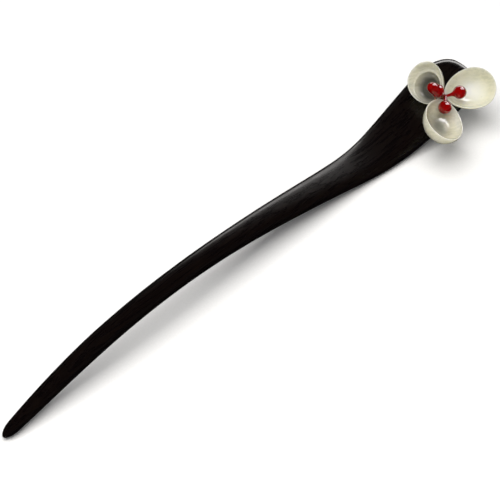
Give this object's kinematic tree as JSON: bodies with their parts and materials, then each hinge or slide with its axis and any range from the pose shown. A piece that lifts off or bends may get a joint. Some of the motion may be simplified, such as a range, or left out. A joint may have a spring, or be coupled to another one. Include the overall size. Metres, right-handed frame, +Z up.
{
  "type": "decorative hair pin",
  "caption": "Bent polished wood hair pin with a spatula head that carries a wired flower of cupped stone petals and glass drop stamens.",
  "frame": {"origin": "centre of the flat rest face under the neck, where the lying pin stands on its support", "axes": "+X from the point to the head along the stick, +Y across the head, +Z up from the rest face"},
  "size_m": [0.1801, 0.0291, 0.0204],
  "materials": {
    "ebony": "hand polished and oiled, semi-gloss",
    "petal_stone": "polished translucent stone",
    "red_glass": "fire polished",
    "copper_wire": "bright drawn copper wire",
    "cement": "clear jeweller's cement"
  },
  "bodies": {
    "root": {"ebony_stick": "ebony", "rear_cover": "ebony", "rear_cement_pad": "cement", "front_cement_collar": "cement", "petal_left": "petal_stone", "petal_end": "petal_stone", "petal_stem": "petal_stone", "stamen_left": "red_glass", "stamen_end": "red_glass", "stamen_stem": "red_glass", "petal_wire_left": "copper_wire", "petal_wire_end": "copper_wire", "petal_wire_stem": "copper_wire", "stamen_wire_left": "copper_wire", "stamen_wire_end": "copper_wire", "stamen_wire_stem": "copper_wire", "binding_wire": "copper_wire"}
  },
  "joints": []
}
